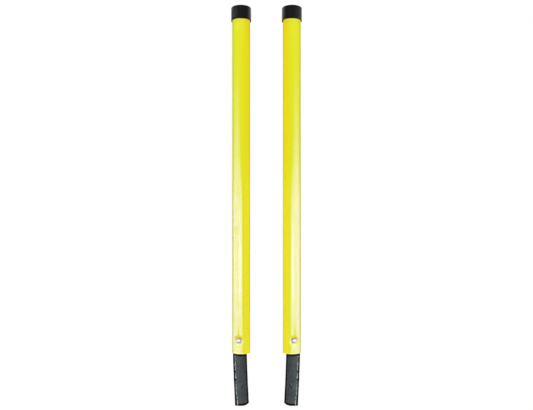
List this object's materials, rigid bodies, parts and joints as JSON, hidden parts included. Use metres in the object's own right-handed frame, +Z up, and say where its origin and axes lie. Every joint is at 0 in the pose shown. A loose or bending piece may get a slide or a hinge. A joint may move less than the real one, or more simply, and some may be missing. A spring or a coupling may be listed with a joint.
{
  "type": "snowplow blade guide pair",
  "caption": "Mirrored snowplow blade guides: yellow plastic tubes with black push-on caps, each riveted to a flexible rubber strap with a fabric core that bends and springs back.",
  "frame": {"origin": "midway between the guides, at the height of the straps' lower ends", "axes": "+Z up along the tubes, +X from the left guide to the right one, -Y to the front, where the rivets' heads face"},
  "size_m": [0.1256, 0.0358, 0.707],
  "materials": {
    "yellow_plastic": "smooth extruded plastic, soft gloss",
    "black_vinyl": "dipped vinyl, satin",
    "strap_rubber": "matt conveyor-belting rubber",
    "strap_fabric": "woven plies, cut edge",
    "rivet_aluminium": "bright, lightly brushed"
  },
  "bodies": {
    "strap_feet": {"left_strap_foot_front_cover": "strap_rubber", "left_strap_foot_fabric_core": "strap_fabric", "left_strap_foot_back_cover": "strap_rubber", "right_strap_foot_front_cover": "strap_rubber", "right_strap_foot_fabric_core": "strap_fabric", "right_strap_foot_back_cover": "strap_rubber"},
    "left_strap_link_1": {"left_strap_link_1_front_cover": "strap_rubber", "left_strap_link_1_fabric_core": "strap_fabric", "left_strap_link_1_back_cover": "strap_rubber"},
    "left_strap_link_2": {"left_strap_link_2_front_cover": "strap_rubber", "left_strap_link_2_fabric_core": "strap_fabric", "left_strap_link_2_back_cover": "strap_rubber"},
    "left_strap_link_3": {"left_strap_link_3_front_cover": "strap_rubber", "left_strap_link_3_fabric_core": "strap_fabric", "left_strap_link_3_back_cover": "strap_rubber"},
    "left_strap_head": {"left_strap_head_front_cover": "strap_rubber", "left_strap_head_fabric_core": "strap_fabric", "left_strap_head_back_cover": "strap_rubber", "left_rivet": "rivet_aluminium", "left_rivet_washer": "rivet_aluminium"},
    "left_tube": {"left_tube": "yellow_plastic"},
    "left_end_cap": {"left_end_cap": "black_vinyl"},
    "right_strap_link_1": {"right_strap_link_1_front_cover": "strap_rubber", "right_strap_link_1_fabric_core": "strap_fabric", "right_strap_link_1_back_cover": "strap_rubber"},
    "right_strap_link_2": {"right_strap_link_2_front_cover": "strap_rubber", "right_strap_link_2_fabric_core": "strap_fabric", "right_strap_link_2_back_cover": "strap_rubber"},
    "right_strap_link_3": {"right_strap_link_3_front_cover": "strap_rubber", "right_strap_link_3_fabric_core": "strap_fabric", "right_strap_link_3_back_cover": "strap_rubber"},
    "right_strap_head": {"right_strap_head_front_cover": "strap_rubber", "right_strap_head_fabric_core": "strap_fabric", "right_strap_head_back_cover": "strap_rubber", "right_rivet": "rivet_aluminium", "right_rivet_washer": "rivet_aluminium"},
    "right_tube": {"right_tube": "yellow_plastic"},
    "right_end_cap": {"right_end_cap": "black_vinyl"}
  },
  "joints": [
    {"name": "left_strap_flex_1", "type": "hinge", "parent": "strap_feet", "child": "left_strap_link_1", "pos_m": [-0.045, 0, 0.038], "axis": [0.9636, -0.2672, 0], "range_deg": [-22.5, 22.5], "stiffness_Nm_per_rad": 10},
    {"name": "left_strap_flex_2", "type": "hinge", "parent": "left_strap_link_1", "child": "left_strap_link_2", "pos_m": [-0.045, 0, 0.054], "axis": [0.9636, -0.2672, 0], "range_deg": [-22.5, 22.5], "stiffness_Nm_per_rad": 10},
    {"name": "left_strap_flex_3", "type": "hinge", "parent": "left_strap_link_2", "child": "left_strap_link_3", "pos_m": [-0.045, 0, 0.07], "axis": [0.9636, -0.2672, 0], "range_deg": [-22.5, 22.5], "stiffness_Nm_per_rad": 10},
    {"name": "left_strap_flex_4", "type": "hinge", "parent": "left_strap_link_3", "child": "left_strap_head", "pos_m": [-0.045, 0, 0.086], "axis": [0.9636, -0.2672, 0], "range_deg": [-22.5, 22.5], "stiffness_Nm_per_rad": 10},
    {"name": "left_rivet_swivel", "type": "hinge", "parent": "left_strap_head", "child": "left_tube", "pos_m": [-0.045, 0, 0.1175], "axis": [-0.2672, -0.9636, 0], "range_deg": [-1, 2]},
    {"name": "left_cap_pull", "type": "slide", "parent": "left_tube", "child": "left_end_cap", "axis": [0, 0, 1], "range_m": [0, 0.03]},
    {"name": "right_strap_flex_1", "type": "hinge", "parent": "strap_feet", "child": "right_strap_link_1", "pos_m": [0.045, 0, 0.038], "axis": [-0.9636, -0.2672, 0], "range_deg": [-22.5, 22.5], "stiffness_Nm_per_rad": 10},
    {"name": "right_strap_flex_2", "type": "hinge", "parent": "right_strap_link_1", "child": "right_strap_link_2", "pos_m": [0.045, 0, 0.054], "axis": [-0.9636, -0.2672, 0], "range_deg": [-22.5, 22.5], "stiffness_Nm_per_rad": 10},
    {"name": "right_strap_flex_3", "type": "hinge", "parent": "right_strap_link_2", "child": "right_strap_link_3", "pos_m": [0.045, 0, 0.07], "axis": [-0.9636, -0.2672, 0], "range_deg": [-22.5, 22.5], "stiffness_Nm_per_rad": 10},
    {"name": "right_strap_flex_4", "type": "hinge", "parent": "right_strap_link_3", "child": "right_strap_head", "pos_m": [0.045, 0, 0.086], "axis": [-0.9636, -0.2672, 0], "range_deg": [-22.5, 22.5], "stiffness_Nm_per_rad": 10},
    {"name": "right_rivet_swivel", "type": "hinge", "parent": "right_strap_head", "child": "right_tube", "pos_m": [0.045, 0, 0.1175], "axis": [-0.2672, 0.9636, 0], "range_deg": [-1, 2]},
    {"name": "right_cap_pull", "type": "slide", "parent": "right_tube", "child": "right_end_cap", "axis": [0, 0, 1], "range_m": [0, 0.03]}
  ]
}
